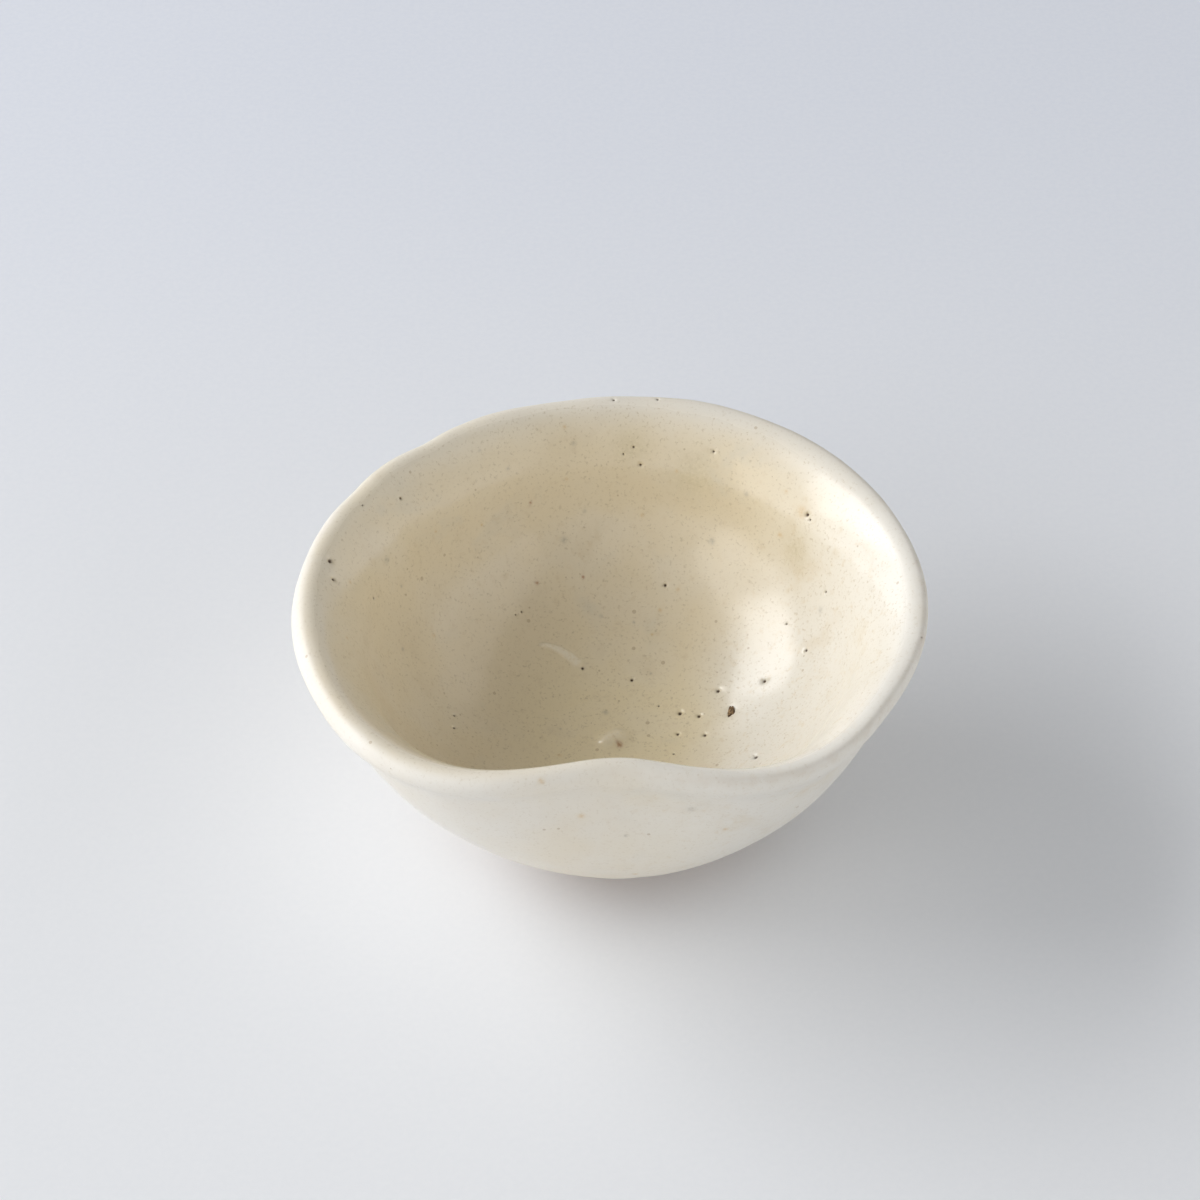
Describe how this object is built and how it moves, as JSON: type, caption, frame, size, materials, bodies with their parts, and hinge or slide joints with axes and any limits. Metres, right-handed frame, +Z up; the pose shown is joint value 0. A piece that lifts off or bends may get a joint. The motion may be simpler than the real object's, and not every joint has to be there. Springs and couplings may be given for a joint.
{
  "type": "sake cup",
  "caption": "Small hand-formed stoneware drinking cup: a wide bowl with an uneven rounded lip pressed in at one side, cream glaze inside and out, on a low bare foot ring.",
  "frame": {"origin": "on the table under the middle of the cup's outline", "axes": "+Z up out of the mouth, +X along the mouth's longest direction, -Y towards the side of the rim that is pressed in"},
  "size_m": [0.078, 0.0686, 0.0368],
  "materials": {
    "inner_glaze": "satin cream glaze with iron specks",
    "outer_glaze": "satin pale cream glaze",
    "stoneware": "bare fired clay, trimmed",
    "foot_clay": "bare fired clay, worn"
  },
  "bodies": {
    "root": {"clay_bowl": "stoneware", "foot_ring": "foot_clay", "inner_glaze": "inner_glaze", "outer_glaze": "outer_glaze"}
  },
  "joints": []
}
